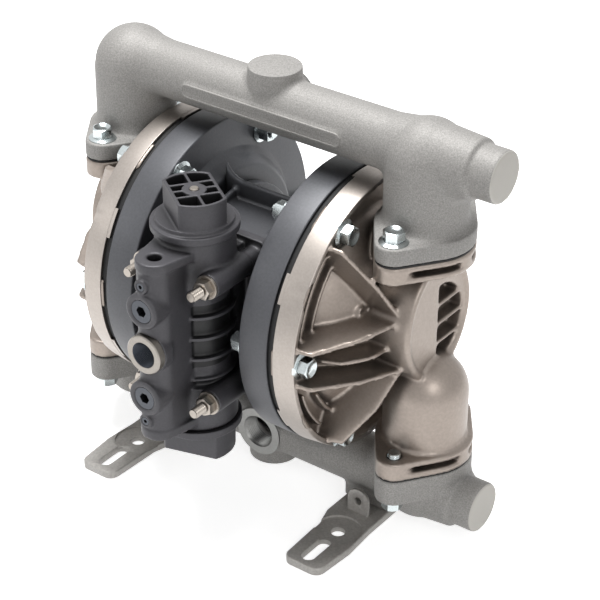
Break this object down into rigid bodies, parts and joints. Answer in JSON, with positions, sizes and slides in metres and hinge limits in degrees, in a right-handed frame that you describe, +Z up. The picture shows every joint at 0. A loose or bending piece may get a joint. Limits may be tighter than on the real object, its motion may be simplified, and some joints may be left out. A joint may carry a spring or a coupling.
{
  "type": "air operated diaphragm pump",
  "caption": "Metal air operated diaphragm pump with bolted manifolds, ribbed fluid covers, a front air valve and slotted feet.",
  "frame": {"origin": "on the floor, at the middle of the four round foot holes", "axes": "+X along the diaphragm rod towards the manifold stubs, -Y towards the air valve at the front, +Z up"},
  "size_m": [0.374, 0.2665, 0.3475],
  "materials": {
    "cast_manifold": "sand cast, matt",
    "diecast_cover": "die cast, satin",
    "cast_chamber": "die cast, dark satin",
    "dark_plastic": "moulded, matt",
    "black_rubber": "moulded",
    "zinc_steel": "zinc plated, bright",
    "stainless_steel": "turned",
    "machined_aluminium": "machined",
    "brass": "turned",
    "ball_plastic": "smooth",
    "painted_foot": "coated, satin"
  },
  "bodies": {
    "pump": {"air_chamber_left": "cast_chamber", "air_chamber_right": "cast_chamber", "air_inlet_bush": "stainless_steel", "ball_seats_lower": "stainless_steel", "ball_seats_upper": "stainless_steel", "cap_seals": "black_rubber", "center_block": "cast_chamber", "chamber_bolts_left": "zinc_steel", "chamber_bolts_right": "zinc_steel", "chamber_nuts_left": "zinc_steel", "chamber_nuts_right": "zinc_steel", "chamber_screws_left": "zinc_steel", "chamber_screws_right": "zinc_steel", "diaphragm_left": "black_rubber", "diaphragm_right": "black_rubber", "fluid_cover_left": "diecast_cover", "fluid_cover_right": "diecast_cover", "foot_left": "painted_foot", "foot_right": "painted_foot", "foot_screws": "zinc_steel", "joint_gaskets": "black_rubber", "lower_manifold": "cast_manifold", "manifold_bolts_lower": "zinc_steel", "manifold_bolts_upper": "zinc_steel", "pilot_screws": "zinc_steel", "port_plugs": "zinc_steel", "reset_spring": "stainless_steel", "rod_bush_left": "brass", "rod_bush_right": "brass", "rod_seal_left": "black_rubber", "rod_seal_right": "black_rubber", "seat_rings_lower": "black_rubber", "seat_rings_upper": "black_rubber", "upper_manifold": "cast_manifold", "valve_body": "cast_chamber", "valve_cap_bottom": "dark_plastic", "valve_cap_top": "dark_plastic", "valve_gasket": "black_rubber", "valve_nuts": "stainless_steel", "valve_sleeve": "machined_aluminium", "valve_studs": "stainless_steel", "valve_washers": "stainless_steel"},
    "rod_assembly": {"center_rod": "stainless_steel", "inner_disk_right": "stainless_steel", "inner_disk_left": "stainless_steel", "outer_disk_right": "machined_aluminium", "outer_disk_left": "machined_aluminium"},
    "pilot_pin": {"pilot_pin": "stainless_steel"},
    "spool": {"spool": "machined_aluminium"},
    "reset_pin": {"reset_pin": "brass"},
    "ball_upper_right": {"ball_upper_right": "ball_plastic"},
    "ball_upper_left": {"ball_upper_left": "ball_plastic"},
    "ball_lower_right": {"ball_lower_right": "ball_plastic"},
    "ball_lower_left": {"ball_lower_left": "ball_plastic"}
  },
  "joints": [
    {"name": "rod_stroke", "type": "slide", "parent": "pump", "child": "rod_assembly", "axis": [1, 0, 0], "range_m": [-0.012, 0.012], "deforming": ["diaphragm_right", "diaphragm_left"]},
    {"name": "pilot_shift", "type": "slide", "parent": "pump", "child": "pilot_pin", "axis": [1, 0, 0], "range_m": [-0.003, 0.003]},
    {"name": "spool_shift", "type": "slide", "parent": "pump", "child": "spool", "axis": [0, 0, 1], "range_m": [0, 0.016]},
    {"name": "reset_press", "type": "slide", "parent": "pump", "child": "reset_pin", "axis": [0, 0, 1], "range_m": [-0.003, 0], "stiffness_N_per_m": 300, "springref_m": 0.004, "deforming": ["reset_spring"]},
    {"name": "ball_upper_right_lift", "type": "slide", "parent": "pump", "child": "ball_upper_right", "axis": [0, 0, 1], "range_m": [0, 0.01]},
    {"name": "ball_upper_left_lift", "type": "slide", "parent": "pump", "child": "ball_upper_left", "axis": [0, 0, 1], "range_m": [0, 0.01]},
    {"name": "ball_lower_right_lift", "type": "slide", "parent": "pump", "child": "ball_lower_right", "axis": [0, 0, 1], "range_m": [0, 0.01]},
    {"name": "ball_lower_left_lift", "type": "slide", "parent": "pump", "child": "ball_lower_left", "axis": [0, 0, 1], "range_m": [0, 0.01]}
  ]
}
